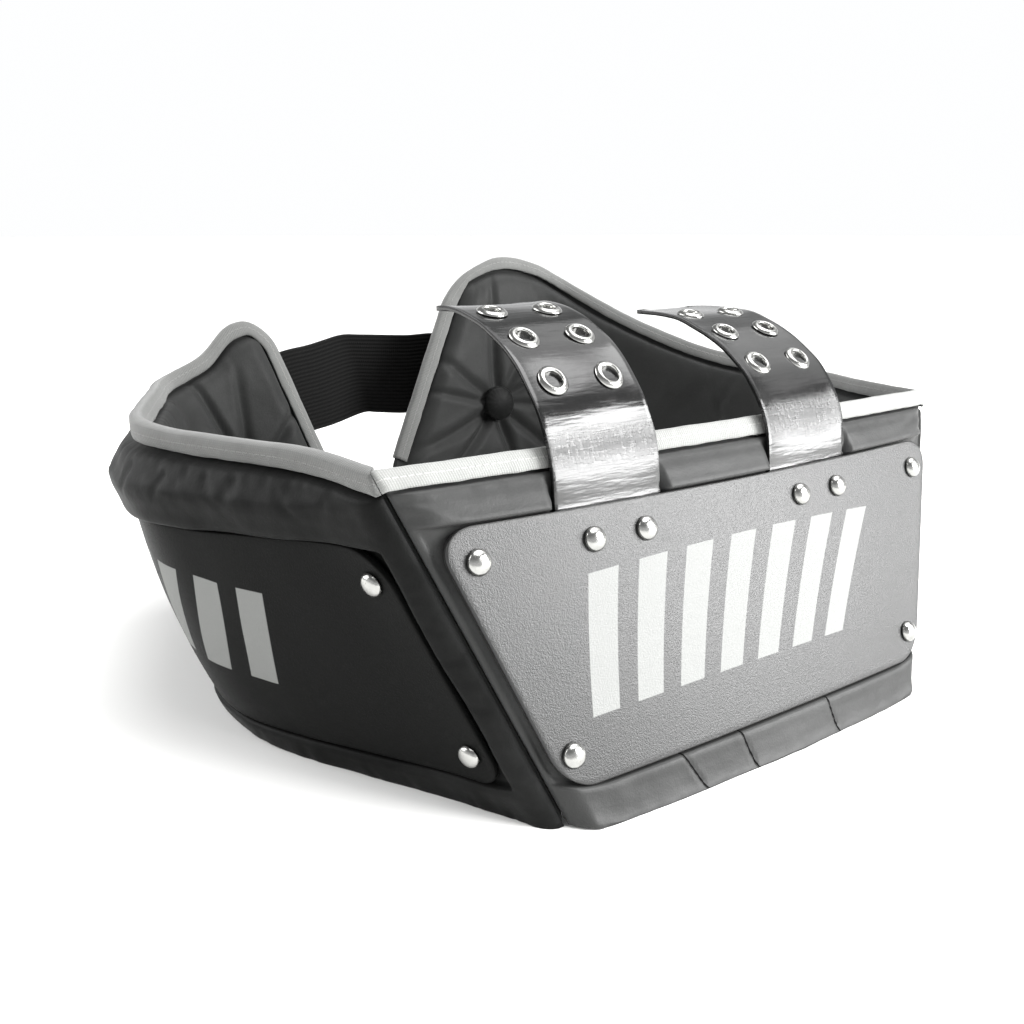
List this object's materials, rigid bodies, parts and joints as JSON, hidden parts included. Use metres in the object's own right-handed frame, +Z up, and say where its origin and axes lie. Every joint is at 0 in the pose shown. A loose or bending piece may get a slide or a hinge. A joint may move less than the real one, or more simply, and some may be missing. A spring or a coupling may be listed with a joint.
{
  "type": "rib protector",
  "caption": "Ring-shaped padded rib protector with riveted hard plates, bound edges, two clear eyelet straps and an elastic front belt.",
  "frame": {"origin": "middle of the base, on the surface that the ring stands on", "axes": "+Z up towards the wearer's chest, -Y out of the back plate, +X towards the higher front flap"},
  "size_m": [0.3676, 0.3258, 0.167],
  "materials": {
    "pads": "coated nylon with a slight sheen",
    "plates": "pebble-grained polyethylene, satin",
    "bindings": "woven tape",
    "straps": "clear vinyl, glossy",
    "eyelets": "bright nickel",
    "rivets": "polished domed heads",
    "belt": "knitted elastic",
    "buttons": "covered in the pads' nylon"
  },
  "bodies": {
    "root": {"back_binding": "bindings", "back_pad": "pads", "back_plate": "plates", "back_rivet_low_left": "rivets", "back_rivet_low_right": "rivets", "back_rivet_top_left": "rivets", "back_rivet_top_right": "rivets", "front_belt": "belt", "left_binding": "bindings", "left_button": "buttons", "left_eyelet_1": "eyelets", "left_eyelet_2": "eyelets", "left_eyelet_3": "eyelets", "left_eyelet_4": "eyelets", "left_eyelet_5": "eyelets", "left_eyelet_6": "eyelets", "left_pad": "pads", "left_plate": "plates", "left_rivet_low_front": "rivets", "left_rivet_low_rear": "rivets", "left_rivet_top_front": "rivets", "left_rivet_top_rear": "rivets", "left_strap": "straps", "left_strap_rivet_1": "rivets", "left_strap_rivet_2": "rivets", "right_binding": "bindings", "right_button": "buttons", "right_eyelet_1": "eyelets", "right_eyelet_2": "eyelets", "right_eyelet_3": "eyelets", "right_eyelet_4": "eyelets", "right_eyelet_5": "eyelets", "right_eyelet_6": "eyelets", "right_pad": "pads", "right_plate": "plates", "right_rivet_low_front": "rivets", "right_rivet_low_rear": "rivets", "right_rivet_top_front": "rivets", "right_rivet_top_rear": "rivets", "right_strap": "straps", "right_strap_rivet_1": "rivets", "right_strap_rivet_2": "rivets"}
  },
  "joints": []
}
